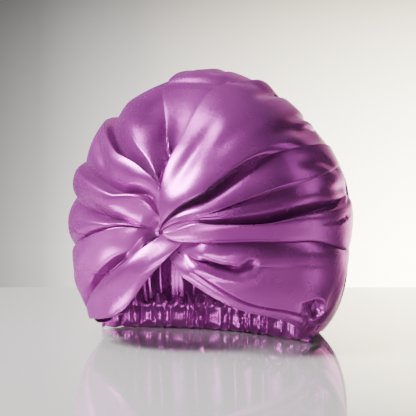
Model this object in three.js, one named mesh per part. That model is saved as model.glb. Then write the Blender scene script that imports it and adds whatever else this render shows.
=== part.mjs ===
// A sleep turban of double satin, puffed up and standing on its own hem. Two wraps fan
// out from a twist at the middle of the forehead. A smooth band and a lower flap leave an
// arch open for the face, and the back panel is drawn in by an elastic casing at the nape.
// Millimetres. +Z is up, the forehead faces -Y, +X is to the right as seen from the front.
import * as THREE from "three";

// The puffed crown, measured without its folds.
const CROWN_WIDTH = 267;
const FRONT_REACH = 128; // from the centre to the forehead
const REAR_REACH = 124; // from the centre to the back
const WIDEST_HEIGHT = 113; // the level where the crown is widest
const CROWN_RISE = 146; // from that level to the top
const BELLY_UNDER = 15; // how far below the table a closed belly would end
const SHOULDER_POWER = 1.78; // 2 is an ellipse, more is boxier
const BELLY_POWER = 3.6;
const BELLY_SINK = 4; // how far below the table the free belly would sink
const REST_GAP = 0.4; // the lowest cloth, above the table
const BELLY_SOFTNESS = 4; // how gently the belly turns flat there

// The cloth.
const FOLD_RISE = 10; // heights in the tables of folds are shares of this
const WALL = 2; // two layers of satin and the air between them
const LAYER_GAP = 0.5; // between one panel and the panel that lies over it
const OVER = 4.6; // how high the right wrap's open edges lie
const UNDER = OVER - WALL - LAYER_GAP; // the most that the cloth under them may rise
const BAND_EDGE = UNDER; // the band lies under the right wrap at the twist
const SUNK = BAND_EDGE - WALL - LAYER_GAP - 0.3; // the cloth under the band
const BAND_CROWN = 3.5; // how far the middle of the band stands above its sides
const TUCK = 7; // how far a panel goes on under the one that covers it
const TWIST_SINK = 8; // how deep the twist is drawn in
const TWIST_SPREAD = 11; // degrees round the twist that are drawn in

// The seam from ear to ear that joins the wraps to the back panel.
const SEAM_OUT = 117; // degrees from the twist
const SEAM_FORWARD = 33; // how far its two ends swing forward to meet the casing
const SEAM_GAP = 1; // degrees left open along the seam
const SEAM_GROOVE = 3.5; // how far the seam is drawn in
const SEAM_SPREAD = 6; // degrees that the groove takes
const SEAM_CREST = 5; // the height the folds shrink to at the seam
const SEAM_FADE = 12; // degrees over which they shrink
const SEAM_LOW_RIGHT = -44; // where the seam ends, in degrees round the twist
const SEAM_LOW_LEFT = 224;
const BACK_RISE = 4; // how far the back panel's cloth stands off the crown
const BACK_PUFF = 6; // how far it swells behind the seam
const BACK_SPREAD = 1.5; // over 1, more of the gathers run up the middle
const BACK_GATHERS = 15;
const BACK_GATHER_DEPTH = 9;

// The elastic casing at the nape.
const CASING_HALF_WIDTH = 90;
const CASING_BOW = 20; // how far it runs back behind its ends
const CASING_ENDS_Y = 0;
const CASING_HEIGHT = 24;
const CASING_THICKNESS = 7;
const CASING_SEAT = 0.9; // how far the back panel's gathered edge starts above the casing
const CASING_GATHERS = 20;
const GATHER_DEPTH = 2.4;
const RUFFLE_HEIGHT = 4; // the ruffle that stands above the casing
const RUFFLE_WALL = 1.8;

const RAD = Math.PI / 180;
const CENTRE = new THREE.Vector3(0, 0, WIDEST_HEIGHT);
const HALF_WIDTH = CROWN_WIDTH / 2;
const BELLY_DROP = WIDEST_HEIGHT + BELLY_UNDER;

const clamp = (x, low, high) => Math.min(high, Math.max(low, x));
const step = (from, to, x) => {
  const t = clamp((x - from) / (to - from), 0, 1);
  return t * t * (3 - 2 * t);
};
const mix = (a, b, t) => a + (b - a) * t;
const bell = (x, middle, spread) => Math.exp(-(((x - middle) / spread) ** 2));
const softMin = (a, b, k) => {
  const low = Math.min(a, b);
  return low - k * Math.log(Math.exp((low - a) / k) + Math.exp((low - b) / k));
};

// A smooth curve through (x, y) points that never swings past them.
function curveThrough(xs, ys) {
  const last = xs.length - 1;
  const rise = xs.slice(1).map((x, i) => (ys[i + 1] - ys[i]) / (x - xs[i]));
  const slope = xs.map((_, i) => {
    if (i === 0) return rise[0];
    if (i === last) return rise[last - 1];
    const before = rise[i - 1];
    const after = rise[i];
    return before * after <= 0 ? 0 : (2 * before * after) / (before + after);
  });
  return (x) => {
    const at = clamp(x, xs[0], xs[last]);
    let i = 0;
    while (i < last - 1 && at > xs[i + 1]) i += 1;
    const width = xs[i + 1] - xs[i];
    const t = (at - xs[i]) / width;
    return (
      ys[i] * (1 + 2 * t) * (1 - t) ** 2 +
      slope[i] * width * t * (1 - t) ** 2 +
      ys[i + 1] * t * t * (3 - 2 * t) +
      slope[i + 1] * width * t * t * (t - 1)
    );
  };
}

// How far the bare crown lies from its centre in a direction.
function crownRadius(direction) {
  const reach = direction.y < 0 ? FRONT_REACH : REAR_REACH;
  const level = Math.hypot(direction.x / HALF_WIDTH, direction.y / reach);
  const up = direction.z >= 0;
  const power = up ? SHOULDER_POWER : BELLY_POWER;
  const high = Math.abs(direction.z) / (up ? CROWN_RISE : BELLY_DROP);
  const free = (level ** power + high ** power) ** (-1 / power);
  if (direction.z > -0.2) return free;
  const table = (WIDEST_HEIGHT + BELLY_SINK) / -direction.z;
  return softMin(free, table, BELLY_SOFTNESS);
}

// A fan place is `around`, the way a fold runs from the twist in degrees counter-clockwise
// from +X as seen from the front, and `out`, the angle from the twist.
function fanDirection(around, out) {
  const side = Math.sin(out * RAD);
  return new THREE.Vector3(
    side * Math.cos(around * RAD),
    -Math.cos(out * RAD),
    side * Math.sin(around * RAD),
  );
}

// How far from the twist the seam runs on a given way from it.
const seamOut = (around) =>
  SEAM_OUT - SEAM_FORWARD * (1 - step(SEAM_LOW_RIGHT, 6, around) + step(180, SEAM_LOW_LEFT, around));

// The outside and the inside point of a wall at a fan place.
function wallAt(around, out, height) {
  const shift = (SEAM_OUT - seamOut(around)) * step(58, SEAM_OUT, out);
  const direction = fanDirection(around, out - shift);
  const sink = TWIST_SINK * bell(out, 0, TWIST_SPREAD);
  const groove = SEAM_GROOVE * bell(out, SEAM_OUT, SEAM_SPREAD);
  const outer = crownRadius(direction) + height - sink - groove;
  return [outer, outer - WALL].map((r) => CENTRE.clone().addScaledVector(direction, r));
}

// A length along the crown as degrees round the twist.
const asDegrees = (length, out) =>
  Math.min(25, length / (FRONT_REACH * 1.05 * Math.sin(out * RAD) * RAD));

// A closed solid from rows of [outside, inside] pairs.
function shell(rows) {
  const rowCount = rows.length;
  const columnCount = rows[0].length;
  const positions = [];
  for (const side of [0, 1])
    for (const row of rows) for (const pair of row) positions.push(...pair[side].toArray());
  const at = (side, row, column) => (side * rowCount + row) * columnCount + column;
  const faces = [];
  const quad = (a, b, c, d) => faces.push(a, b, c, a, c, d);
  const endRow = rowCount - 1;
  const endColumn = columnCount - 1;
  for (let r = 0; r < endRow; r += 1)
    for (let c = 0; c < endColumn; c += 1) {
      quad(at(0, r, c), at(0, r, c + 1), at(0, r + 1, c + 1), at(0, r + 1, c));
      quad(at(1, r, c), at(1, r + 1, c), at(1, r + 1, c + 1), at(1, r, c + 1));
    }
  for (let c = 0; c < endColumn; c += 1) {
    quad(at(0, 0, c), at(1, 0, c), at(1, 0, c + 1), at(0, 0, c + 1));
    quad(at(0, endRow, c), at(0, endRow, c + 1), at(1, endRow, c + 1), at(1, endRow, c));
  }
  for (let r = 0; r < endRow; r += 1) {
    quad(at(0, r, 0), at(0, r + 1, 0), at(1, r + 1, 0), at(1, r, 0));
    quad(at(0, r, endColumn), at(1, r, endColumn), at(1, r + 1, endColumn), at(0, r + 1, endColumn));
  }
  return facingOut(positions, faces);
}

// Turns every face round if the closed surface has been listed inside out.
function facingOut(positions, faces) {
  const point = (i) => new THREE.Vector3().fromArray(positions, i * 3);
  let volume = 0;
  for (let i = 0; i < faces.length; i += 3)
    volume += point(faces[i]).dot(point(faces[i + 1]).cross(point(faces[i + 2])));
  if (volume < 0)
    for (let i = 0; i < faces.length; i += 3)
      [faces[i + 1], faces[i + 2]] = [faces[i + 2], faces[i + 1]];
  const geometry = new THREE.BufferGeometry();
  geometry.setAttribute("position", new THREE.Float32BufferAttribute(positions, 3));
  geometry.setIndex(faces);
  geometry.computeVertexNormals();
  return geometry;
}

// The creases of a panel, one row each, at seven stations out from the twist: where the
// crease runs (degrees round the twist) and how high its cloth lies (shares of FOLD_RISE).
const STATIONS = [5, 14, 25, 40, 60, 80, 97];
const rises = (shares) => curveThrough(STATIONS, shares.map((share) => share * FOLD_RISE));
const crease = (places, shares) => ({
  around: curveThrough(STATIONS, places),
  height: rises(shares),
});

// A fold between two creases: its crest heights at the same stations, where its crest
// stands between the creases (0 to 1), the columns it gets and how round it is.
const fold = (crests, peak, columns = 8, roundness = 2.2) => ({
  crest: rises(crests),
  peak,
  columns,
  roundness,
});
const flat = { flat: true, columns: 2 };

// A panel in the fan: a sector between its first and last crease.
function fanPanel(creases, folds, outs, limit = (out, height) => height) {
  return shell(
    outs.map((out) => {
      const row = [];
      folds.forEach((f, k) => {
        const from = creases[k];
        const to = creases[k + 1];
        for (let i = 0; i < f.columns; i += 1) {
          // Columns stand closer together beside the creases.
          const even = i / f.columns;
          const t = f.flat ? even : even - 0.1 * Math.sin(2 * Math.PI * even);
          const base = mix(from.height(out), to.height(out), t);
          let height = base;
          if (!f.flat) {
            const side = t < f.peak ? 1 - t / f.peak : (t - f.peak) / (1 - f.peak);
            const full = f.crest(out);
            const crest = mix(full, Math.min(full, SEAM_CREST), step(SEAM_OUT - SEAM_FADE, SEAM_OUT, out));
            height = mix(crest, base, side ** f.roundness);
          }
          row.push(wallAt(mix(from.around(out), to.around(out), t), out, limit(out, height)));
        }
      });
      const end = creases[creases.length - 1];
      row.push(wallAt(end.around(out), out, limit(out, end.height(out))));
      return row;
    }),
  );
}

// A crease that follows another at a distance, at a height of its own.
const beside = (edge, distance, height) => ({
  around: (out) => edge.around(out) + Math.sign(distance) * asDegrees(Math.abs(distance), out),
  height,
});
// The height of cloth that another panel covers: it sinks where it nears the twist.
const covered = (out) => mix(SUNK, UNDER - 0.2, step(8, 24, out));

const FAN_OUTS = [3, 6.5, 10.5, 15, 21, 28, 36, 46, 57, 68, 79, 90, 99, 108, SEAM_OUT];

// The right wrap lies over everything beside it. From its low edge up: the shelf, the
// bowl, the tongue and the big smooth panel that runs over the top.
const lowEdge = crease([-22, -9, -5, -3, -3, -6, -9], [0.5, 0.5, 0.5, 0.55, 0.6, 0.6, 0.5]);
const shelfTop = crease([12, 18, 9, 5, 7, 9, 12], [0.65, 0.5, 0.2, -0.4, -0.5, -0.1, 0.3]);
const tongueEdge = crease([34, 27, 23, 22, 21, 22, 24], [0.65, 0.5, 0.2, 0.2, 0.6, 0.75, 0.7]);
const slot = crease([58, 50, 42, 41, 37, 34, 33], [0.6, 0.1, -0.4, -0.1, 0.7, 0.85, 0.75]);
const highEdge = crease([82, 85, 84, 80, 80, 73, 64], [0.5, 0.6, 0.7, 0.75, 0.75, 0.7, 0.6]);

function rightWrap() {
  const creases = [lowEdge, shelfTop, tongueEdge, slot, highEdge];
  const folds = [
    fold([0.7, 0.9, 1.1, 1.2, 1.1, 0.9, 0.8], 0.75, 8),
    fold([0.7, 0.6, 0.5, 0.5, 0.65, 0.8, 0.75], 0.8, 8, 1.6),
    fold([0.8, 1, 1.1, 1, 0.9, 0.85, 0.75], 0.25, 8),
    fold([0.9, 1.2, 1.4, 1.4, 1.2, 0.8, 0.7], 0.22, 12),
  ];
  return fanPanel(creases, folds, FAN_OUTS);
}

// The left wrap goes on under the right wrap's high edge and under the band. From the top
// down: the triangle, the four pleats that splay from the twist, and the smooth cheek.
const triangleEdge = crease([84, 89, 90, 93, 101, 106, 108], [0, 0, -0.2, -0.3, -0.1, 0.3, 0.4]);
const pleatOne = crease([90, 96, 108, 126, 131, 133, 133], [0, 0.1, 0, 0, 0.2, 0.4, 0.5]);
const pleatTwo = crease([112, 118, 141, 149, 153, 154, 154], [0, 0, 0, 0.3, 0.7, 0.8, 0.7]);
const pleatThree = crease([148, 161, 168, 170, 169, 168, 168], [0, 0, 0.1, 0.3, 0.4, 0.4, 0.5]);
const cheekEdge = crease([168, 172, 182, 189, 193, 194, 194], [0, 0.1, 0, 0, 0.1, 0.2, 0.4]);
const bandSide = crease([196, 218, 219, 218, 222, 224, 224], [0, 0, 0, 0, 0, 0, 0]);

function leftWrap() {
  const underBand = () => SUNK;
  const lowEnd = (out) => SUNK - step(14, SEAM_OUT, out);
  const creases = [
    beside(highEdge, -TUCK, covered),
    { around: highEdge.around, height: covered },
    triangleEdge,
    pleatOne,
    pleatTwo,
    pleatThree,
    cheekEdge,
    beside(bandSide, -5, underBand),
    beside(bandSide, TUCK / 3, lowEnd),
  ];
  const cloth = (out, height) => mix(SUNK - 0.8, height, step(5, 12, out));
  const folds = [
    flat,
    fold([0, 0.2, 0.4, 0.7, 0.9, 0.7, 0.5], 0.8, 5, 1.8),
    fold([0, 0.4, 0.7, 0.8, 0.8, 0.6, 0.5], 0.5, 6, 1.9),
    fold([0, 0.5, 0.8, 1, 1, 0.9, 0.7], 0.2, 6),
    fold([0, 0.5, 0.8, 0.9, 0.9, 0.85, 0.7], 0.4, 6),
    fold([0, 0.2, 0.4, 0.6, 0.7, 0.7, 0.65], 0.4, 6),
    fold([0, 0.5, 0.9, 1, 0.6, 0.35, 0.4], 0.25, 6),
    flat,
  ];
  return fanPanel(creases, folds, FAN_OUTS, cloth);
}

// The lower right flap comes out from under the band, goes on under the shelf, and its low
// edge is the right side of the face opening.
const archEdge = crease([-66, -61, -51, -44, -38, -40, -44], [0, 0.1, 0.1, 0.1, 0.15, 0.15, 0.1]);
const hemLine = crease([-48, -42, -39, -38, -34, -35, -38], [0, 0, 0, 0, 0.1, 0.1, 0.1]);
const slit = crease([-38, -35, -26, -18, -16, -16, -16], [0, -0.2, -0.3, -0.1, 0.55, 0.6, 0.5]);

function rightFlap() {
  const rolledUnder = {
    around: (out) => archEdge.around(out) - asDegrees(1.75 * WALL, out),
    height: (out) => archEdge.height(out) - 2.25 * WALL * step(6, 16, out),
  };
  const underShelf = { around: lowEdge.around, height: covered };
  const creases = [rolledUnder, archEdge, hemLine, slit, underShelf, beside(lowEdge, TUCK, covered)];
  const folds = [
    { flat: true, columns: 1 },
    fold([0, 0.2, 0.25, 0.25, 0.25, 0.25, 0.2], 0.5, 4),
    fold([0, 0.5, 0.6, 0.65, 0.65, 0.6, 0.5], 0.2, 5),
    fold([0, 0.5, 0.65, 0.65, 0.65, 0.6, 0.5], 0.35, 5),
    flat,
  ];
  const underBand = (out, height) => mix(SUNK - 1.8, height, step(12.5, 21, out));
  return fanPanel(creases, folds, FAN_OUTS.filter((out) => out > 6), underBand);
}

// The band runs from under the shelf down to the lower left and widens on its way. Its two
// sides are listed from the twist to the hem, as places to the right and up in degrees.
const BAND_STATIONS = [0, 0.12, 0.25, 0.42, 0.6, 0.78, 1];
const bandUpperSide = {
  right: curveThrough(BAND_STATIONS, [2, -2, -8.5, -18.7, -31, -41, -49]),
  up: curveThrough(BAND_STATIONS, [5, 0.5, -6.4, -15, -24, -34, -45]),
};
const bandLowerSide = {
  right: curveThrough(BAND_STATIONS, [12, 10.5, 4.2, -4, -10, -14, -18]),
  up: curveThrough(BAND_STATIONS, [0, -3, -9.5, -18, -25, -30, -34]),
};

function leftBand() {
  const along = [0, 0.07, 0.14, 0.22, 0.31, 0.41, 0.52, 0.63, 0.74, 0.85, 0.95, 1, 1.03];
  const acrossBand = [0, 0.07, 0.2, 0.35, 0.5, 0.65, 0.8, 0.93, 1, 1.06];
  return shell(
    along.map((s) =>
      acrossBand.map((t) => {
        const right = mix(bandUpperSide.right(s), bandLowerSide.right(s), t);
        const up = mix(bandUpperSide.up(s), bandLowerSide.up(s), t) - 40 * Math.max(0, s - 1);
        const rim = Math.max(0, Math.abs(t - 0.5) - 0.5) / 0.06;
        const hem = Math.max(0, s - 1) / 0.03;
        const crown = 1 - Math.abs(2 * clamp(t, 0, 1) - 1) ** 2.6;
        const free = step(0.12, 0.4, s);
        const onlyLower = t > 0.5 ? 1 : 0;
        const height =
          mix(BAND_EDGE - 0.6, BAND_EDGE, free) +
          free * BAND_CROWN * crown -
          3.5 * rim * onlyLower * free -
          5 * hem * step(0.1, 0.4, t);
        const around = Math.atan2(up, right) / RAD;
        return wallAt(around, Math.hypot(right, up), height);
      }),
    ),
  );
}

// The casing's line on the table, from its right end (0) to its left end (1).
function casingPoint(u) {
  const x = CASING_HALF_WIDTH * (1 - 2 * u);
  const y = CASING_ENDS_Y + CASING_BOW * (1 - (1 - 2 * u) ** 2);
  return new THREE.Vector2(x, y);
}

// The way to the back, across the casing.
function casingBackward(u) {
  const slope = (4 * CASING_BOW * (1 - 2 * u)) / (2 * CASING_HALF_WIDTH);
  return new THREE.Vector2(slope, 1).normalize();
}

// The back panel is sewn to the wraps along the seam (v = 0) and gathered into the top of
// the casing (v = 1). Its gathers run up from the casing and fade towards the seam.
function backPanel() {
  const columnCount = BACK_GATHERS * 4;
  const downs = [0, 0.025, 0.06, 0.12, 0.2, 0.3, 0.4, 0.51, 0.62, 0.72, 0.8, 0.86, 0.91, 0.955, 1];
  return shell(
    downs.map((v) => {
      const row = [];
      for (let i = 0; i <= columnCount; i += 1) {
        const u = i / columnCount;
        const onCasing = casingPoint(u).addScaledVector(casingBackward(u), CASING_THICKNESS / 4);
        const seated = new THREE.Vector3(onCasing.x, onCasing.y, CASING_HEIGHT + CASING_SEAT);
        const toCasing = seated.clone().sub(CENTRE);
        const casingRadius = toCasing.length();
        const low = toCasing.normalize();
        const offMiddle = 2 * u - 1;
        const spread = Math.sign(offMiddle) * Math.abs(offMiddle) ** BACK_SPREAD;
        const around = 90 + (spread * (SEAM_LOW_LEFT - SEAM_LOW_RIGHT)) / 2;
        const high = fanDirection(around, seamOut(around) + SEAM_GAP);
        const angle = Math.acos(clamp(low.dot(high), -1, 1));
        const direction = high
          .multiplyScalar(Math.sin((1 - v) * angle))
          .addScaledVector(low, Math.sin(v * angle))
          .divideScalar(Math.sin(angle));
        const puff = BACK_PUFF * step(0, 0.07, v) * (1 - step(0.1, 0.5, v));
        const phase = Math.abs(Math.sin(u * BACK_GATHERS * Math.PI));
        const gathers = BACK_GATHER_DEPTH * step(0.02, 0.2, v) * (phase ** 0.7 - 0.45);
        const ends = step(0, 0.15, u) * step(0, 0.15, 1 - u);
        const groove = SEAM_GROOVE * bell(v, 0, 0.03);
        const rise = BACK_RISE * (1 - step(0.5, 0.8, v));
        const wide = crownRadius(direction) + (rise + puff + gathers) * ends - groove;
        const drawnIn = step(0.84, 1, v);
        const table = (WIDEST_HEIGHT - REST_GAP) / Math.max(0.2, -direction.z);
        const outer = Math.min(table, mix(wide, casingRadius, drawnIn));
        row.push([outer, outer - WALL].map((r) => CENTRE.clone().addScaledVector(direction, r)));
      }
      return row;
    }),
  );
}

// The casing: a gathered tube standing on its hem, with a ruffle along its top.
function napeCasing() {
  const perGather = 4;
  const count = CASING_GATHERS * perGather;
  const half = CASING_THICKNESS / 2;
  const ring = [
    [-0.75, 0],
    [-1, 0.14],
    [-1.05, 0.5],
    [-0.8, 0.9],
    [-0.3, 1],
    [0.3, 1],
    [0.8, 0.9],
    [1.05, 0.5],
    [1, 0.14],
    [0.75, 0],
  ];
  const sections = [];
  for (let i = 0; i <= count; i += 1) {
    const u = i / count;
    const middle = casingPoint(u);
    const backward = casingBackward(u);
    const wave = Math.cos((2 * Math.PI * i) / perGather);
    const ruffleTop = CASING_HEIGHT + RUFFLE_HEIGHT + 0.9 * wave;
    const profile = ring.map(([side, level]) => [
      side * (half + GATHER_DEPTH * 0.5 * wave * Math.sin(Math.PI * clamp(level, 0.05, 0.95))),
      level * CASING_HEIGHT,
    ]);
    // The ruffle stands on the top, a little to the front.
    profile.splice(
      5,
      0,
      [-RUFFLE_WALL / 2 - 0.9 + 0.8 * wave, ruffleTop],
      [RUFFLE_WALL / 2 - 0.9 + 0.8 * wave, ruffleTop],
    );
    sections.push(
      profile.map(([across, z]) => {
        const at = middle.clone().addScaledVector(backward, across);
        return new THREE.Vector3(at.x, at.y, z);
      }),
    );
  }
  return tube(sections);
}

// A closed solid swept through rings of points.
function tube(sections) {
  const size = sections[0].length;
  const positions = sections.flat().flatMap((p) => p.toArray());
  const faces = [];
  for (let s = 0; s < sections.length - 1; s += 1)
    for (let k = 0; k < size; k += 1) {
      const a = s * size + k;
      const b = s * size + ((k + 1) % size);
      faces.push(a, b, b + size, a, b + size, a + size);
    }
  const lastRing = (sections.length - 1) * size;
  for (const [a, b, c] of capFaces(sections[0])) faces.push(a, c, b);
  for (const [a, b, c] of capFaces(sections[sections.length - 1]))
    faces.push(lastRing + a, lastRing + b, lastRing + c);
  return facingOut(positions, faces);
}

// The upright end of a ring, cut into triangles that run round the same way as the ring.
function capFaces(ring) {
  const along = ring[ring.length - 1].clone().sub(ring[0]).setZ(0).normalize();
  const flatRing = ring.map((p) => new THREE.Vector2(p.dot(along), p.z));
  const ringArea = THREE.ShapeUtils.area(flatRing);
  return THREE.ShapeUtils.triangulateShape(flatRing, []).map(([a, b, c]) => {
    const area = THREE.ShapeUtils.area([flatRing[a], flatRing[b], flatRing[c]]);
    return area * ringArea > 0 ? [a, b, c] : [a, c, b];
  });
}

const PIECES = {
  wrap_right: rightWrap,
  wrap_left: leftWrap,
  band_left: leftBand,
  flap_right: rightFlap,
  back_panel: backPanel,
  nape_casing: napeCasing,
};

const model = new THREE.Group();
model.name = "sleep_turban";
for (const [name, make] of Object.entries(PIECES)) {
  const mesh = new THREE.Mesh(make(), new THREE.MeshStandardMaterial({ color: 0x9f5e9a }));
  mesh.name = name;
  model.add(mesh);
}

export default model;
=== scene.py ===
import math

import bpy
import numpy as np
from mathutils import Matrix, Vector


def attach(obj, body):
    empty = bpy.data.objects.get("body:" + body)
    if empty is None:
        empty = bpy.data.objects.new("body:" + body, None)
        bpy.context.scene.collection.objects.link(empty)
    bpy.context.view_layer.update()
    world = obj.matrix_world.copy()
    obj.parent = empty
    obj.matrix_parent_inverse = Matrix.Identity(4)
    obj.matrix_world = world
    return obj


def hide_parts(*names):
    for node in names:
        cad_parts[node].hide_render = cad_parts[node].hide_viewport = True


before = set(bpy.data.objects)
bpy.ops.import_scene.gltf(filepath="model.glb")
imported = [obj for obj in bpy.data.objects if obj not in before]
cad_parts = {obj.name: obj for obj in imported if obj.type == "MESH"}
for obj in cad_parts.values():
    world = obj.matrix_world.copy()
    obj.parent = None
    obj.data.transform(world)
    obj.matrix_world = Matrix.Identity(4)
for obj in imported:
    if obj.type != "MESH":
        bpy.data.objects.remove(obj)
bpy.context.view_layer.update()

# The camera. It stands a little to the right of the forehead and just above the table,
# far enough away that the turban is drawn with little perspective.
camera_azimuth = math.radians(22)
camera_elevation = math.radians(5)
camera_distance = 1.1556
aim_right, aim_up = -0.0025, 0.125
back = Vector((
    math.sin(camera_azimuth) * math.cos(camera_elevation),
    -math.cos(camera_azimuth) * math.cos(camera_elevation),
    math.sin(camera_elevation),
))
right = Vector((math.cos(camera_azimuth), math.sin(camera_azimuth), 0))
up = back.cross(right)
target = right * aim_right + up * aim_up
camera = bpy.data.objects.new("camera", bpy.data.cameras.new("camera"))
camera.data.lens = 100
camera.data.sensor_width = 36
camera.matrix_world = Matrix.Translation(target + back * camera_distance) @ Matrix(
    (right, up, back)
).transposed().to_4x4()
bpy.context.scene.collection.objects.link(camera)
bpy.context.scene.camera = camera

# The right wrap. Double satin that fans out from the twist to the upper right and lies over
# all that is beside it: a shelf, a bowl, a tongue and the big smooth panel over the top.
# It is sewn to the back panel along the seam from ear to ear.
MM = 0.001
# The crown, in millimetres: a rounded body about CENTRE_Z whose belly sags on to the table.
CENTRE_Z = 113.0
HALF_WIDTH, FRONT_REACH, REAR_REACH = 133.5, 128.0, 124.0
CROWN_RISE, BELLY_DROP, BELLY_SINK = 146.0, 128.0, 4.0
SHOULDER_POWER, BELLY_POWER, BELLY_SOFTNESS = 1.78, 3.6, 4.0
BELLY_START, NEARLY_LEVEL = -0.2, 0.05
SATIN_THICKNESS = 1.3
# The fan round the twist. A place in it is given in degrees: around, counted from the right
# as seen from the front, and out, counted from the twist. Its rows lie closest in the core.
FAN_START, FAN_CORE, FAN_RADIUS = 2.5, 20.0, 134.0
CORE_ROWS, OUTER_ROWS, ROW_STEP = 42, 126, 0.4
MM_PER_DEGREE = 2.35
TWIST_SINK, TWIST_SPREAD = 8.0, 11.0
# The seam from ear to ear. It runs SEAM_OUT from the twist and comes forward at its low ends.
SEAM_OUT, SEAM_FORWARD = 117.0, 33.0
SEAM_LOW_RIGHT, SEAM_LOW_LEFT = -44.0, 224.0
SEAM_TURN_RIGHT, SEAM_TURN_LEFT = 6.0, 180.0
SEAM_PULL_START = 58.0
SEAM_GROOVE, GROOVE_SPREAD = 2.0, 5.0
SEAM_SWELL, SEAM_RUN_IN = 5.0, 12.0
# A lap's upper side, as shares of its depth and width, and how sharp its edge is.
LAP_RISE, LAP_REACH, LAP_FADE, LAP_EDGE = 0.7, 1.6, 4, 0.8
# The distances from the twist, in degrees, at which the creases and crests are given.
PLACES = (5, 14, 25, 40, 60, 80, 97)


def smooth_step(low, high, x):
    t = np.clip((np.asarray(x, float) - low) / (high - low), 0, 1)
    return t * t * (3 - 2 * t)


def curve(xs, ys):
    """A smooth curve through points that never swings past them."""
    xs, ys = np.asarray(xs, float), np.asarray(ys, float)
    rise = np.diff(ys) / np.diff(xs)
    slope = np.concatenate([rise[:1], np.zeros(len(xs) - 2), rise[-1:]])
    for i in range(1, len(xs) - 1):
        if rise[i - 1] * rise[i] > 0:
            slope[i] = 2 * rise[i - 1] * rise[i] / (rise[i - 1] + rise[i])

    def at(x):
        x = np.clip(np.asarray(x, float), xs[0], xs[-1])
        i = np.clip(np.searchsorted(xs, x, side="right") - 1, 0, len(xs) - 2)
        w = xs[i + 1] - xs[i]
        t = (x - xs[i]) / w
        return (
            ys[i] * (1 + 2 * t) * (1 - t) ** 2
            + slope[i] * w * t * (1 - t) ** 2
            + ys[i + 1] * t * t * (3 - 2 * t)
            + slope[i + 1] * w * t * t * (t - 1)
        )

    return at


def crown_radius(d):
    """How far the crown lies from its centre in the directions d, flattened by the table."""
    reach = np.where(d[..., 1] < 0, FRONT_REACH, REAR_REACH)
    level = np.hypot(d[..., 0] / HALF_WIDTH, d[..., 1] / reach)
    upper = d[..., 2] >= 0
    power = np.where(upper, SHOULDER_POWER, BELLY_POWER)
    high = np.abs(d[..., 2]) / np.where(upper, CROWN_RISE, BELLY_DROP)
    free = (level**power + high**power) ** (-1 / power)
    table = (CENTRE_Z + BELLY_SINK) / np.maximum(-d[..., 2], NEARLY_LEVEL)
    low = np.minimum(free, table)
    k = BELLY_SOFTNESS
    soft = low - k * np.log(np.exp((low - free) / k) + np.exp((low - table) / k))
    return np.where(d[..., 2] > BELLY_START, free, soft)


def fan_direction(around, out):
    a, o = np.radians(around), np.radians(out)
    return np.stack([np.sin(o) * np.cos(a), -np.cos(o), np.sin(o) * np.sin(a)], axis=-1)


def degrees_round(length, out):
    """The degrees that a length in millimetres covers on the fan's ring at out."""
    return length / (FAN_RADIUS * np.sin(np.radians(out))) / math.radians(1)


def seam_out(around):
    right_end = 1 - smooth_step(SEAM_LOW_RIGHT, SEAM_TURN_RIGHT, around)
    left_end = smooth_step(SEAM_TURN_LEFT, SEAM_LOW_LEFT, around)
    return SEAM_OUT - SEAM_FORWARD * (right_end + left_end)


def fan_point(around, out, height, side=0.0):
    """Places in the fan, in degrees, and millimetres off the crown and sideways, as points."""
    around = around + degrees_round(side, np.maximum(out, FAN_START))
    shift = (SEAM_OUT - seam_out(around)) * smooth_step(SEAM_PULL_START, SEAM_OUT, out)
    d = fan_direction(around, out - shift)
    sink = TWIST_SINK * np.exp(-((out / TWIST_SPREAD) ** 2))
    groove = SEAM_GROOVE * np.exp(-(((out - SEAM_OUT) / GROOVE_SPREAD) ** 2))
    r = crown_radius(d) + height - sink - groove
    return d * r[..., None] + np.array([0, 0, CENTRE_Z])


def crease(places, heights):
    """A line from the twist to the seam, its way round and its height given at PLACES."""
    return {"around": curve(PLACES, places), "height": curve(PLACES, heights)}


def fold(columns, crest=None, lean=(0,) * len(PLACES), peak=0.5, roundness=2.2, waves=(1, 0.2)):
    """The cloth between two creases. crest and lean are its height and its sideways sag at
    PLACES, peak is the share of its width at which the crest runs, and waves are their count
    and size. Without a crest the cloth lies plain."""
    return {
        "columns": columns,
        "crest": crest,
        "lean": lean,
        "peak": peak,
        "roundness": roundness,
        "waves": waves,
    }


def dent(points, depth, width, kind="soft", fade=(0.15, 0.25)):
    """A line pressed into the cloth, soft, or as a lap whose upper side stands proud.

    points are degrees right of and above the twist, depth and width are millimetres, and
    fade is the share of the line over which it begins and ends."""
    line = np.array(points, float) * MM_PER_DEGREE

    def at(x, y):
        best = np.full(x.shape, 1e9)
        signed = np.zeros(x.shape)
        along = np.zeros(x.shape)
        lengths = np.linalg.norm(np.diff(line, axis=0), axis=1)
        total = lengths.sum()
        start = 0.0
        for (ax, ay), (bx, by), length in zip(line[:-1], line[1:], lengths):
            ux, uy = (bx - ax) / length, (by - ay) / length
            t = np.clip((x - ax) * ux + (y - ay) * uy, 0, length)
            dx, dy = x - ax - ux * t, y - ay - uy * t
            distance = np.hypot(dx, dy)
            nearer = distance < best
            best = np.where(nearer, distance, best)
            signed = np.where(nearer, ux * dy - uy * dx, signed)
            along = np.where(nearer, (start + t) / total, along)
            start += length
        ends = smooth_step(0, fade[0], along) * smooth_step(0, fade[1], 1 - along)
        if kind == "lap":
            lower = -np.exp(-np.abs(signed) / width) * (signed > 0)
            upper = LAP_RISE * np.exp(-np.abs(signed) / (LAP_REACH * width)) * (signed <= 0)
            near = np.exp(-((best / (LAP_FADE * width)) ** 2))
            shape = (lower + upper) * near * np.tanh(np.abs(signed) / LAP_EDGE)
        else:
            shape = -np.exp(-((best / width) ** 2))
        return depth * shape * ends

    return at


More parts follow.
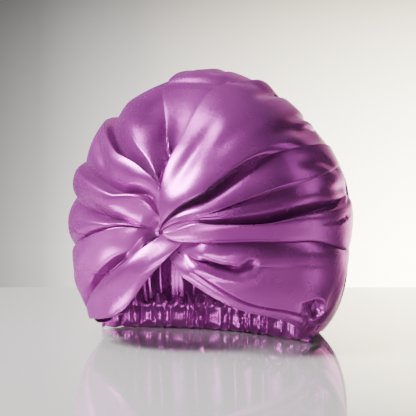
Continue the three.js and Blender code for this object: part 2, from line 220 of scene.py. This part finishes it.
def fan_panel(creases, folds, outs, limit=None, dents=()):
    """Rows of (around, out, height, side) over a sector of the fan."""
    out = outs[:, None]
    around, height, side = [], [], []
    for k, f in enumerate(folds):
        even = np.arange(f["columns"])[None, :] / f["columns"]
        # The columns crowd together at the creases, where the cloth bends most.
        t = even - 0.11 * np.sin(2 * np.pi * even) if f["crest"] else even
        first, second = creases[k], creases[k + 1]
        ease = t * t * (3 - 2 * t)
        base = first["height"](out) * (1 - ease) + second["height"](out) * ease
        a = first["around"](out) * (1 - t) + second["around"](out) * t
        if f["crest"]:
            away = np.where(t < f["peak"], 1 - t / f["peak"], (t - f["peak"]) / (1 - f["peak"]))
            q = 1 - away ** f["roundness"]
            full = curve(PLACES, f["crest"])(out)
            at_seam = smooth_step(SEAM_OUT - SEAM_RUN_IN, SEAM_OUT, out)
            top = full + (np.minimum(full, SEAM_SWELL) - full) * at_seam
            # Small waves run across the fold, and die out toward the twist and the seam.
            waves, size = f["waves"]
            swell = smooth_step(6, 18, out) * (1 - smooth_step(45, 85, out))
            ripple = size * np.sin(2 * np.pi * waves * t + 1.3 * k + out / 19)
            h = base * (1 - q) + top * q + ripple * q * swell
            s = curve(PLACES, f["lean"])(out) * q**1.3
        else:
            h, s = base + 0 * t, 0 * t + 0 * out
        around.append(a)
        height.append(h)
        side.append(s)
    end = creases[-1]
    around.append(end["around"](out))
    height.append(end["height"](out))
    side.append(0 * out)
    around, height, side = (np.concatenate(x, axis=1) for x in (around, height, side))
    out = out + 0 * around
    if limit:
        height = limit(around, out, height)
    x = out * np.cos(np.radians(around)) * MM_PER_DEGREE
    y = out * np.sin(np.radians(around)) * MM_PER_DEGREE
    for d in dents:
        height = height + d(x, y)
    return around, out, height, side


def roll_edge(parts, first, radius=1.9, steps=6):
    """Turns the first or last column down and back under itself, less near the twist."""
    around, out, height, side = parts
    column = 0 if first else -1
    turn = np.linspace(0, 1, steps + 1)[1:] * np.pi * 1.05
    turn = turn[::-1] if first else turn
    sign = -1 if first else 1
    size = radius * smooth_step(4, 14, out[:, :1])
    more = (
        around[:, [column]] + 0 * turn[None, :],
        out[:, [column]] + 0 * turn[None, :],
        height[:, [column]] - size * (1 - np.cos(turn))[None, :],
        side[:, [column]] + sign * size * np.sin(turn)[None, :],
    )
    pairs = zip(more, parts) if first else zip(parts, more)
    return tuple(np.concatenate(pair, axis=1) for pair in pairs)


def cloth_object(name, points, material, thickness=SATIN_THICKNESS):
    """A sheet from a grid of points in millimetres, thickened to the inside."""
    rows, columns = points.shape[:2]
    index = np.arange(rows * columns).reshape(rows, columns)
    quads = np.stack(
        [index[:-1, :-1], index[:-1, 1:], index[1:, 1:], index[1:, :-1]], axis=-1
    ).reshape(-1, 4)
    flat = points.reshape(-1, 3)
    middle = flat[quads].mean(axis=1) - np.array([0, 0, CENTRE_Z])
    a, b, c, d = (flat[quads[:, i]] for i in range(4))
    normal = np.cross(c - a, d - b)
    if (normal * middle).sum() < 0:
        quads = quads[:, ::-1]
    mesh = bpy.data.meshes.new(name)
    mesh.from_pydata((flat * MM).tolist(), [], quads.tolist())
    mesh.polygons.foreach_set("use_smooth", [True] * len(mesh.polygons))
    obj = bpy.data.objects.new(name, mesh)
    bpy.context.scene.collection.objects.link(obj)
    solid = obj.modifiers.new("thickness", "SOLIDIFY")
    solid.thickness = thickness * MM
    solid.offset = -1
    mesh.materials.append(material)
    return obj


def satin_material(name, deep, bright, roughness):
    """Purple satin: long floats give a soft metallic sheen that runs across the weave."""
    material = bpy.data.materials.new(name)
    material.use_nodes = True
    nodes, links = material.node_tree.nodes, material.node_tree.links
    shader = nodes["Principled BSDF"]
    place = nodes.new("ShaderNodeTexCoord")
    weave = nodes.new("ShaderNodeTexWave")
    weave.inputs["Scale"].default_value = 900
    weave.inputs["Distortion"].default_value = 1.5
    weave.inputs["Detail"].default_value = 1
    slubs = nodes.new("ShaderNodeTexNoise")
    slubs.inputs["Scale"].default_value = 60
    slubs.inputs["Detail"].default_value = 5
    broad = nodes.new("ShaderNodeTexNoise")
    broad.inputs["Scale"].default_value = 14
    broad.inputs["Detail"].default_value = 2
    for texture in (weave, slubs, broad):
        links.new(place.outputs["Object"], texture.inputs["Vector"])
    tint = nodes.new("ShaderNodeValToRGB")
    tint.color_ramp.elements[0].position = 0.3
    tint.color_ramp.elements[0].color = (*deep, 1)
    tint.color_ramp.elements[1].position = 0.7
    tint.color_ramp.elements[1].color = (*bright, 1)
    links.new(broad.outputs["Fac"], tint.inputs["Fac"])
    links.new(tint.outputs["Color"], shader.inputs["Base Color"])
    gloss = nodes.new("ShaderNodeMapRange")
    gloss.inputs["To Min"].default_value = roughness - 0.04
    gloss.inputs["To Max"].default_value = roughness + 0.05
    links.new(slubs.outputs["Fac"], gloss.inputs["Value"])
    links.new(gloss.outputs["Result"], shader.inputs["Roughness"])
    fine = nodes.new("ShaderNodeBump")
    fine.inputs["Strength"].default_value = 0.12
    fine.inputs["Distance"].default_value = 0.00015
    links.new(weave.outputs["Fac"], fine.inputs["Height"])
    soft = nodes.new("ShaderNodeBump")
    soft.inputs["Strength"].default_value = 0.25
    soft.inputs["Distance"].default_value = 0.0006
    links.new(slubs.outputs["Fac"], soft.inputs["Height"])
    links.new(fine.outputs["Normal"], soft.inputs["Normal"])
    links.new(soft.outputs["Normal"], shader.inputs["Normal"])
    shader.inputs["Metallic"].default_value = 0.75
    shader.inputs["Specular Tint"].default_value = (0.45, 0.2, 0.45, 1)
    shader.inputs["Sheen Weight"].default_value = 0.08
    shader.inputs["Sheen Roughness"].default_value = 0.4
    shader.inputs["Sheen Tint"].default_value = (0.7, 0.35, 0.7, 1)
    shader.inputs["Anisotropic"].default_value = 0.35
    return material


satin = satin_material("satin", (0.205, 0.028, 0.188), (0.30, 0.05, 0.272), 0.26)
fan_outs = np.concatenate([
    np.linspace(FAN_START, FAN_CORE, CORE_ROWS),
    np.linspace(FAN_CORE + ROW_STEP, SEAM_OUT, OUTER_ROWS),
])
shelf_edge = crease((-22, -9, -5, -3, -3, -6, -9), (5, 5, 5, 5.5, 6, 6, 5))
shelf_top = crease((12, 18, 9, 5, 7, 9, 12), (6.5, 5, 2, -5, -6, -1, 4))
tongue_edge = crease((34, 27, 23, 22, 21, 22, 24), (6.5, 5, 2, 3, 7, 8, 7))
slot = crease((58, 50, 42, 41, 37, 34, 33), (6, 0, -5, 0, 9, 9, 7.5))
high_edge = crease((82, 85, 84, 80, 79, 72, 64), (5, 6, 7, 7.5, 7.5, 6, 4.5))
shelf = fold(40, (7, 9, 11, 12, 11, 9, 8), (0, 1, 3, 4, 4, 2, 0), peak=0.78, roundness=2.4)
bowl = fold(48, (7, 6, 5, 5, 6.5, 8, 7.5), peak=0.8, roundness=1.6, waves=(2, 0.3))
tongue = fold(56, (8, 11, 12, 11, 10, 9, 7.5), (0, -2, -4, -3, 0, 0, 0), peak=0.14)
big_panel = fold(
    112, (9, 12, 14, 14, 12, 6.5, 4.5), (0, -3, -5, -4, -1, 0, 0), peak=0.11, roundness=2.4
)
right_dents = [
    # The long hollows that run up the big panel, and one along the bowl.
    dent([(3, 11), (8, 24), (15, 38), (22, 54)], 2.6, 7, fade=(0.35, 0.6)),
    dent([(14, 24), (24, 38), (40, 54)], 1.2, 8, fade=(0.5, 0.6)),
    dent([(34, 38), (52, 50), (72, 58)], 2.5, 10, fade=(0.5, 0.4)),
    dent([(52, 30), (70, 36), (92, 34)], 2.2, 7, fade=(0.5, 0.4)),
    # The small folds at the right ends of the shelf and the bowl.
    dent([(64, 1), (80, 2), (98, 8)], 1.5, 4, "lap", fade=(0.5, 0.4)),
    dent([(78, 10), (92, 14), (102, 22)], 1.8, 4, fade=(0.5, 0.4)),
    # The hollows that notch the outline at the upper right.
    dent([(29, 58), (43, 80), (53, 99)], 4.5, 8, fade=(0.6, 0.2)),
    dent([(46, 50), (60, 67), (76, 86)], 4, 7, fade=(0.6, 0.2)),
    dent([(53, 46), (66, 60), (83, 75)], 3.5, 5, fade=(0.6, 0.2)),
    dent([(62, 18), (88, 24), (108, 29)], 3, 7, fade=(0.6, 0.5)),
    # The dip below the lump on top, and the swelling beside it.
    dent([(30, 72), (20, 73.5), (8, 74)], 2.5, 6, fade=(0.8, 0.01)),
    dent([(30, 74), (35, 90)], -3, 12, fade=(0.5, 0.3)),
]
right_parts = fan_panel(
    [shelf_edge, shelf_top, tongue_edge, slot, high_edge],
    [shelf, bowl, tongue, big_panel],
    fan_outs,
    dents=right_dents,
)
right_parts = roll_edge(roll_edge(right_parts, True), False)
right_points = fan_point(*right_parts)
wrap_right = cloth_object("wrap_right_cloth", right_points, satin)
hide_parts("wrap_right")
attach(wrap_right, "root")

# The left wrap. The same double satin, pinched in at the twist and gone under the right
# wrap's high edge and under the band: a smooth triangle, four pleats and the cheek.
SUNK = -0.7
PINCH_DEPTH = -8.0
WIDEST_STEP = 25
triangle_edge = crease((76, 76, 79, 87, 98, 104, 106), (SUNK, -1, -4, -9, -8, 0, 4))
pleat_one = crease((82, 82, 106, 127, 131, 133, 133), (SUNK, -2, -6, -6, -3, 2, 5))
pleat_two = crease((92, 104, 141, 149, 153, 154, 154), (SUNK, -3, -7, -5, 1, 6, 7))
pleat_three = crease((160, 165, 169, 170, 169, 168, 168), (SUNK, -3, -6, -5, -1, 2, 5))
cheek_edge = crease((168, 172, 182, 189, 193, 194, 194), (SUNK, -2, -6, -7, -4, 0, 4))
band_side = crease((196, 218, 219, 218, 222, 224, 224), (SUNK,) * len(PLACES))


def moved(edge, length, heights):
    """A crease that runs beside another, so many millimetres further round."""
    def around(out):
        step = np.minimum(WIDEST_STEP, degrees_round(abs(length), out))
        return edge["around"](out) + np.sign(length) * step

    return {"around": around, "height": curve(PLACES, heights)}


def under_the_edge(around, out, height):
    """Keeps the pleats below the high edge that lies over them, and sinks them at the twist."""
    clear = (around - high_edge["around"](out)) / degrees_round(1, out)
    cap = 1.7 + 1.6 * np.maximum(0, clear - 1)
    height = np.where(clear < 12, np.minimum(height, cap), height)
    return PINCH_DEPTH + (height - PINCH_DEPTH) * smooth_step(3, 10, out)


covered = (SUNK, 0.6, 1.7, 1.9, 1.9, 1.9, 1.9)
covered_edge = {
    "around": lambda out: np.minimum(high_edge["around"](out), triangle_edge["around"](out) - 1),
    "height": curve(PLACES, covered),
}
left_creases = [
    moved(high_edge, -8, covered),
    covered_edge,
    triangle_edge,
    pleat_one,
    pleat_two,
    pleat_three,
    cheek_edge,
    moved(band_side, -5, (SUNK,) * len(PLACES)),
    moved(band_side, 3, (SUNK, SUNK, -1, -1, -1, -1.5, -2)),
]
# A strip under the right wrap, the triangle, four pleats, the cheek, a strip under the band.
left_folds = [
    fold(5),
    fold(40, (SUNK, 2, 5, 7, 9, 6, 4), (0, 0, 3, 7, 7, 3, 0), 0.86, 1.5, waves=(1, 0.1)),
    fold(62, (SUNK, 5, 10, 10.5, 9, 6, 5), peak=0.6, roundness=1.3),
    fold(44, (SUNK, 5, 10, 12, 11, 10, 7), (0, -2, -4, -5, -4, -1, 0), peak=0.1, roundness=2.6),
    fold(44, (SUNK, 5, 10, 11, 11, 9, 7), (0, -1, -3, -3, -1, 0, 0), peak=0.3, roundness=2.6),
    fold(40, (SUNK, 2, 4, 7, 8, 8, 6.5), peak=0.45, roundness=2.4),
    fold(52, (SUNK, 6, 11, 10, 5, 2, 2.5), (0, -2, -4, -5, -4, -2, 0), peak=0.12, roundness=2.4),
    fold(5),
]
BAND_VALLEY = [(-12, -9), (-20, -14), (-32.5, -22.7), (-42.5, -32.5), (-50, -43)]
left_dents = [
    # The hollows between the pleats.
    dent([(-24, 20), (-36, 31), (-48, 41)], 5, 7, fade=(0.4, 0.4)),
    dent([(-16, 1.5), (-34, 9), (-52, 16)], 3.5, 5, fade=(0.4, 0.5)),
    dent([(-29, -4), (-36, -4.4), (-48, -1.7), (-63, 0)], 3.5, 3, "lap", fade=(0.3, 0.3)),
    # The valley along the band, and the swelling of the cheek beside it.
    dent(BAND_VALLEY, 8, 4.5, fade=(0.2, 0.05)),
    dent([(-26, -7), (-38, -15), (-49, -25), (-57, -37)], -2, 6, fade=(0.5, 0.3)),
    # The hollows beside the triangle.
    dent([(-2, 34), (-4, 44), (-8, 58)], 4, 5, fade=(0.4, 0.5)),
    dent([(-13, 44), (-17, 62), (-14, 80)], 2, 8, fade=(0.4, 0.4)),
    # The dip below the lump on top, and the lump's own wrinkles.
    dent([(18, 73), (4, 71), (-8, 70), (-20, 67)], 3.5, 6, fade=(0.01, 0.3)),
    dent([(-2, 80), (-2, 96)], 1, 12, fade=(0.5, 0.3)),
    dent([(-15, 78), (-17, 94)], -1, 10, fade=(0.5, 0.3)),
    dent([(-7, 74), (-8, 96)], 1, 5, fade=(0.3, 0.3)),
    dent([(8, 77), (10, 98)], 3.5, 5, fade=(0.3, 0.3)),
]
left_parts = fan_panel(
    left_creases, left_folds, fan_outs, limit=under_the_edge, dents=left_dents
)
left_points = fan_point(*left_parts)
wrap_left = cloth_object("wrap_left_cloth", left_points, satin)
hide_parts("wrap_left")
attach(wrap_left, "root")

# The lower right flap. It comes out from under the band, goes on under the shelf, and its
# rolled low edge is the right side of the face opening.
FLAP_START, FLAP_FLOOR = 6.0, SUNK - 1.8
arch_edge = crease((-66, -61, -51, -44, -38, -40, -44), (SUNK, 1, 1, 1, 1.5, 1.5, 1))
hem_line = crease((-48, -42, -39, -38, -34, -35, -38), (SUNK, 0, 0, 0, 1, 1, 1))
slit = crease((-38, -35, -26, -18, -15, -15, -15), (SUNK, -1, 0, 6.5, 7, 6, 5))
under_shelf = (SUNK, 1.2, 1.9, 1.9, 1.9, 1.9, 1.9)
flap_creases = [
    arch_edge,
    hem_line,
    slit,
    {"around": shelf_edge["around"], "height": curve(PLACES, under_shelf)},
    moved(shelf_edge, 8, under_shelf),
]
# The rolled hem, the cloth below the slit, the cloth above it, a strip under the shelf.
flap_folds = [
    fold(28, (SUNK, 2.5, 3.5, 3.5, 3, 2.5, 2), waves=(1, 0.1)),
    fold(56, (SUNK, 5, 6.5, 7, 7, 6, 5), (0, -1, -2, -2, -1, 0, 0), 0.12, 2.8, waves=(1, 0.15)),
    fold(50, (SUNK, 5, 7, 7.5, 7, 6, 5), (0, -1, -3, -2, 0, 0, 0), 0.22, 2.6, waves=(1, 0.1)),
    fold(5),
]
LENS = [(12, -7), (20, -9.5), (26, -12), (32, -13.2), (36.5, -11.5), (38, -8)]
LENS_LIP = [(20, -14), (27, -16.5), (33, -17.3), (37.5, -16), (40.5, -13), (41, -9)]
POCKET = [(54, -33), (64, -36.5), (70, -42), (72, -50)]
CRESCENT = [(76, -52), (77, -46), (74, -40), (70, -35.5), (64, -32), (52, -30)]
flap_dents = [
    dent(LENS, 8, 3.6, fade=(0.5, 0.12)),
    dent(LENS_LIP, -2, 3.6, fade=(0.5, 0.4)),
    dent(POCKET, 5, 6, fade=(0.5, 0.15)),
    dent(CRESCENT, 7, 11, "lap", fade=(0.15, 0.6)),
]


def under_the_twist(around, out, height):
    """Sinks the flap where the band and the wraps cross over it."""
    return FLAP_FLOOR + (height - FLAP_FLOOR) * smooth_step(12.5, 21, out)


flap_outs = fan_outs[fan_outs > FLAP_START]
flap_parts = fan_panel(
    flap_creases, flap_folds, flap_outs, limit=under_the_twist, dents=flap_dents
)
flap_parts = roll_edge(flap_parts, True, radius=2.4)
flap_points = fan_point(*flap_parts)
flap_right = cloth_object("flap_right_cloth", flap_points, satin)
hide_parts("flap_right")
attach(flap_right, "root")

# The band. A smooth length of the right wrap's cloth that crosses the twist under the
# shelf and runs down to the lower left, wider as it goes, with its end turned under.
BAND_HEIGHT, BAND_SWELL, BAND_CORNER = 1.7, 4.0, 5.0
HEM_SHARE, HEM_DROP, HEM_DEPTH = 0.05, 40.0, 8.0
# The shares of the band's length at which its edges are given, right of and above the twist.
BAND_PLACES = (0, 0.12, 0.25, 0.42, 0.6, 0.78, 1)
upper_right = curve(BAND_PLACES, (4, 0, -8, -18.7, -31, -40, -46.5))
upper_up = curve(BAND_PLACES, (2, -1.5, -7, -15, -24, -33, -41.5))
lower_right = curve(BAND_PLACES, (12, 10.5, 4.2, -4, -10, -14, -18))
lower_up = curve(BAND_PLACES, (0, -3, -9.5, -18, -25, -29, -32))
s = np.linspace(0, 1 + HEM_SHARE, 114)[:, None]
t = np.linspace(0, 1, 60)[None, :]
past_end = np.maximum(0, s - 1)
rounded = BAND_CORNER * (1 - t) ** 4 * np.clip(s, 0, 1) ** 10
band_right = upper_right(s) * (1 - t) + lower_right(s) * t + rounded
band_up = upper_up(s) * (1 - t) + lower_up(s) * t - HEM_DROP * past_end + rounded
puffed = 1 + BAND_SWELL * (1 - np.abs(2 * t - 1) ** 3)
tucked = HEM_DEPTH * past_end / HEM_SHARE * smooth_step(0.1, 0.4, t)
band_height = BAND_HEIGHT + smooth_step(0.12, 0.4, s) * puffed - tucked
band_around = np.degrees(np.arctan2(band_up, band_right)) % 360
band_points = fan_point(band_around, np.hypot(band_right, band_up), band_height)
band_left = cloth_object("band_left_cloth", band_points, satin)
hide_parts("band_left")
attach(band_left, "root")

# The back panel. One big piece of double satin, sewn to the wraps from ear to ear and
# gathered at its low edge into the elastic casing. It sags on to the table behind.
CASING_HALF_WIDTH, CASING_BOW = 90.0, 20.0
CASING_HEIGHT, CASING_THICKNESS = 24.0, 7.0
CASING_CLEARANCE, TABLE_CLEARANCE = 0.9, 0.4
SEAM_OVERLAP, SEAM_PROUD = 0.8, 0.9
BIG_GATHERS, BIG_SWELL = 15, 9.0
SMALL_GATHERS, SMALL_SWELL = 41, 2.2
SEAM_PUFF, PANEL_RISE = 6.0, 4.0


def casing_point(u):
    """The middle of the casing seen from above, from its right end to its left end."""
    w = 1 - 2 * u
    return np.stack([CASING_HALF_WIDTH * w, CASING_BOW * (1 - w * w)], axis=-1)


def casing_backward(u):
    slope = 4 * CASING_BOW * (1 - 2 * u) / (2 * CASING_HALF_WIDTH)
    away = np.stack([slope, np.ones_like(slope)], axis=-1)
    return away / np.linalg.norm(away, axis=-1, keepdims=True)


u = np.linspace(0, 1, 360)[None, :]
rows = [np.linspace(0, 0.1, 24), np.linspace(0.105, 0.8, 70), np.linspace(0.805, 1, 40)]
v = np.concatenate(rows)[:, None]
seat_xy = casing_point(u) + casing_backward(u) * CASING_THICKNESS / 4
seat_z = np.full(seat_xy.shape[:-1] + (1,), CASING_HEIGHT + CASING_CLEARANCE - CENTRE_Z)
seat = np.concatenate([seat_xy, seat_z], axis=-1)
seat_radius = np.linalg.norm(seat, axis=-1)
casing_way = seat / seat_radius[..., None]
off = 2 * u - 1
seam_around = 90 + np.sign(off) * np.abs(off) ** 1.5 * (SEAM_LOW_LEFT - SEAM_LOW_RIGHT) / 2
seam_way = fan_direction(seam_around, seam_out(seam_around) - SEAM_OVERLAP)
angle = np.arccos(np.clip((casing_way * seam_way).sum(-1), -1, 1))
d = (
    seam_way * (np.sin((1 - v) * angle) / np.sin(angle))[..., None]
    + casing_way * (np.sin(v * angle) / np.sin(angle))[..., None]
)
warped = u + 0.008 * np.sin(2 * np.pi * 3.3 * u + 1) + 0.004 * np.sin(2 * np.pi * 7.1 * u + 2)
big = np.abs(np.sin(warped * BIG_GATHERS * np.pi)) ** 0.7 - 0.45
small = np.abs(np.sin(warped * SMALL_GATHERS * np.pi + 0.8)) - 0.5
gathers = BIG_SWELL * smooth_step(0.02, 0.2, v) * big
gathers = gathers + SMALL_SWELL * smooth_step(0.45, 0.9, v) * small
puff = SEAM_PUFF * smooth_step(0, 0.07, v) * (1 - smooth_step(0.1, 0.5, v))
rise = PANEL_RISE * (1 - smooth_step(0.5, 0.8, v))
ends = smooth_step(0.03, 0.3, u) * smooth_step(0, 0.15, 1 - u)
wide = crown_radius(d) + SEAM_PROUD + (rise + puff + gathers) * ends
drawn_in = smooth_step(0.84, 1, v)
table = (CENTRE_Z - TABLE_CLEARANCE) / np.maximum(0.2, -d[..., 2])
back_radius = np.minimum(table, wide + (seat_radius - wide) * drawn_in)
back_points = d * back_radius[..., None] + np.array([0, 0, CENTRE_Z])
back_panel = cloth_object("back_panel_cloth", back_points, satin)
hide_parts("back_panel")
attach(back_panel, "root")

# The nape casing. A hem of the same satin over hidden elastic, drawn up into upright
# puckers, with a small ruffle above the stitching that closes it.
CASING_SATIN_THICKNESS = 0.6
PUCKERS = 23
PUFF, PUFF_MIDDLE = 5.4, 0.6
LIFT, LIFT_BELOW = 2.2, 0.7
# Painted light: the casing's copy of the satin is painted a little lighter than the rest,
# standing in for light that hardly reaches the shaded casing.
casing_satin_painted_lighter = satin_material("casing_satin_painted_lighter", (0.22, 0.032, 0.20), (0.34, 0.06, 0.31), 0.25)
# The loop of the casing seen from its end, as shares of its thickness and height: up the
# front, over the stitching into the ruffle, and down the back.
ring = [
    (-0.7, 0), (-1, 0.1), (-1.15, 0.3), (-1.1, 0.55), (-0.8, 0.82), (-0.4, 0.93), (-0.45, 1.02),
    (-0.6, 1.12), (-0.7, 1.25), (-0.45, 1.27), (-0.3, 1.14), (-0.1, 1.02), (0.1, 0.95),
    (0.8, 0.82), (1.1, 0.5), (1, 0.14), (0.7, 0),
]
u = np.linspace(-0.09, 1.14, 984)
rng = np.random.RandomState(7)
widths = rng.uniform(0.4, 1.8, PUCKERS)
starts = np.concatenate([[0], np.cumsum(widths)]) / widths.sum() * 1.3 - 0.14
talls = rng.uniform(0.35, 1.3, PUCKERS)


def puckered(u):
    """How far the gathered cloth puffs out along the casing, from 0 to about 1."""
    pucker = np.clip(np.searchsorted(starts, u, side="right") - 1, 0, PUCKERS - 1)
    share = (u - starts[pucker]) / (starts[pucker + 1] - starts[pucker])
    return np.abs(np.sin(np.pi * share)) ** 0.75 * talls[pucker]


wrinkles = 0.15 * np.cos(2 * np.pi * 71 * u + 0.7 + 2 * np.sin(9 * u))
curl = 24 * np.sin(2 * np.pi * 17 * u + 1.5 * np.sin(2 * np.pi * 3 * u))
frill = 22 * np.cos(2 * np.pi * 13 * u + 3 * np.sin(11 * u))
bunched = 0.3 + 0.7 * smooth_step(-0.09, -0.03, u) * (1 - smooth_step(1.04, 1.14, u))
middle, backward = casing_point(u), casing_backward(u)
loops = []
for across, level in ring:
    puff_out = puckered(u + 0.012 * level * np.sin(29 * u) + 0.006 * np.sin(53 * u + 4 * level))
    swell = np.sin(np.pi * np.clip(level, 0.05, 0.95)) if level <= 1 else 0.25
    puffs = np.sign(across) * (PUFF * (puff_out - PUFF_MIDDLE) + wrinkles) * swell
    offset = bunched * (across * CASING_THICKNESS / 2 + puffs)
    z = level * CASING_HEIGHT * bunched
    if level > 1:
        offset = offset - (level - 1) * (6 + curl)
        z = z + (level - 1) * (4 + frill) * bunched
    if level < 0.2:
        z = z + LIFT * np.maximum(0, LIFT_BELOW - puff_out)
    xy = middle + backward * offset[:, None]
    loops.append(np.concatenate([xy, z[:, None]], axis=1))
casing_points = np.stack(loops + loops[:1], axis=1)
nape_casing = cloth_object(
    "nape_casing_cloth", casing_points, casing_satin_painted_lighter, CASING_SATIN_THICKNESS
)
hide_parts("nape_casing")
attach(nape_casing, "root")

# The table and the wall, which are not part of the turban: a glossy pale table top whose
# far edge lies behind the turban, and a plain wall whose painted light glows brighter on the
# right.
TABLE_HALF, TABLE_NEAR, TABLE_FAR, TABLE_DROP = 2.0, -1.6, 0.297, 0.0006
WALL_HALF, WALL_LOW, WALL_HIGH, WALL_AT = 1.6, -0.4, 1.6, 1.5
# Painted light: the colours of the wall's glow, from its left to its right.
WALL_GLOW = [
    (0.0, (0.036, 0.0345, 0.034)),
    (0.12, (0.066, 0.063, 0.061)),
    (0.35, (0.2, 0.188, 0.176)),
    (0.6, (0.47, 0.425, 0.36)),
    (1.0, (1.0, 0.90, 0.67)),
]


def glossy(name, color, roughness, metallic):
    material = bpy.data.materials.new(name)
    material.use_nodes = True
    shader = material.node_tree.nodes["Principled BSDF"]
    shader.inputs["Base Color"].default_value = (*color, 1)
    shader.inputs["Roughness"].default_value = roughness
    shader.inputs["Metallic"].default_value = metallic
    return material


def glowing_wall(name):
    """A wall whose light from the right is painted in as its own glow: grey at the left, nearly
    white at the right and low down.
    """
    material = bpy.data.materials.new(name)
    material.use_nodes = True
    nodes, links = material.node_tree.nodes, material.node_tree.links
    shader = nodes["Principled BSDF"]
    shader.inputs["Base Color"].default_value = (0.02, 0.02, 0.02, 1)
    shader.inputs["Roughness"].default_value = 1
    place = nodes.new("ShaderNodeTexCoord")
    split = nodes.new("ShaderNodeSeparateXYZ")
    links.new(place.outputs["Object"], split.inputs["Vector"])
    across = nodes.new("ShaderNodeMapRange")
    across.inputs["From Min"].default_value = -0.5
    across.inputs["From Max"].default_value = 0.45
    links.new(split.outputs["X"], across.inputs["Value"])
    ramp = nodes.new("ShaderNodeValToRGB")
    for position, color in WALL_GLOW:
        if position in (0.0, 1.0):
            element = ramp.color_ramp.elements[-int(position)]
        else:
            element = ramp.color_ramp.elements.new(position)
        element.color = (*color, 1)
    links.new(across.outputs["Result"], ramp.inputs["Fac"])
    # Painted light: the glow grows stronger low down.
    height = nodes.new("ShaderNodeMapRange")
    height.inputs["From Min"].default_value = -0.1
    height.inputs["From Max"].default_value = 0.5
    height.inputs["To Min"].default_value = 14
    height.inputs["To Max"].default_value = 1.7
    links.new(split.outputs["Z"], height.inputs["Value"])
    links.new(ramp.outputs["Color"], shader.inputs["Emission Color"])
    links.new(height.outputs["Result"], shader.inputs["Emission Strength"])
    return material


def slab(name, corners, material):
    """A stage sheet. Its own x axis runs to the right of the picture."""
    mesh = bpy.data.meshes.new(name)
    mesh.from_pydata(corners, [], [(0, 1, 2, 3)])
    mesh.materials.append(material)
    obj = bpy.data.objects.new(name, mesh)
    obj.rotation_euler.z = camera_azimuth
    bpy.context.scene.collection.objects.link(obj)
    return obj


table_top = slab(
    "table_top",
    [
        (-TABLE_HALF, TABLE_NEAR, 0),
        (TABLE_HALF, TABLE_NEAR, 0),
        (TABLE_HALF, TABLE_FAR, 0),
        (-TABLE_HALF, TABLE_FAR, 0),
    ],
    glossy("table", (0.92, 0.90, 0.88), 0.06, 0.68),
)
table_top.location.z = -TABLE_DROP
slab(
    "wall",
    [
        (-WALL_HALF, WALL_AT, WALL_LOW),
        (WALL_HALF, WALL_AT, WALL_LOW),
        (WALL_HALF, WALL_AT, WALL_HIGH),
        (-WALL_HALF, WALL_AT, WALL_HIGH),
    ],
    glowing_wall("wall"),
)

# The lights, which are not part of the turban either: a strong one high on the left, weak
# ones from the top, the right and low in front, and a small one inside the crown.
turban_middle = Vector((0, 0, 0.13))
toward = Vector((math.sin(camera_azimuth), -math.cos(camera_azimuth), 0))


def beside(to_the_right, to_the_camera, higher):
    """A place measured from the middle of the turban."""
    return turban_middle + right * to_the_right + toward * to_the_camera + Vector((0, 0, higher))


def area_light(name, place, aim, size, power):
    data = bpy.data.lights.new(name, "AREA")
    data.shape = "RECTANGLE"
    data.size, data.size_y = size
    data.energy = power
    obj = bpy.data.objects.new(name, data)
    obj.location = place
    obj.rotation_euler = (aim - place).to_track_quat("-Z", "Y").to_euler()
    bpy.context.scene.collection.objects.link(obj)


area_light("key", beside(-1.05, 0.5, 0.92), turban_middle, (0.4, 0.55), 116)
area_light("top", beside(-0.45, 0.15, 1.2), turban_middle, (0.5, 0.3), 12)
area_light("right_fill", beside(1.25, 0.1, 0.45), turban_middle, (0.25, 0.9), 3)
area_light("low_front", beside(-0.2, 1.1, 0.03), Vector((0, 0, 0.03)), (0.35, 0.12), 6)
area_light("inside", Vector((0, -0.02, 0.12)), Vector((0, 0.11, 0.06)), (0.06, 0.03), 0.12)
world = bpy.data.worlds.new("world")
world.use_nodes = True
world.node_tree.nodes["Background"].inputs["Color"].default_value = (0.9, 0.92, 0.95, 1)
world.node_tree.nodes["Background"].inputs["Strength"].default_value = 0.012
bpy.context.scene.world = world
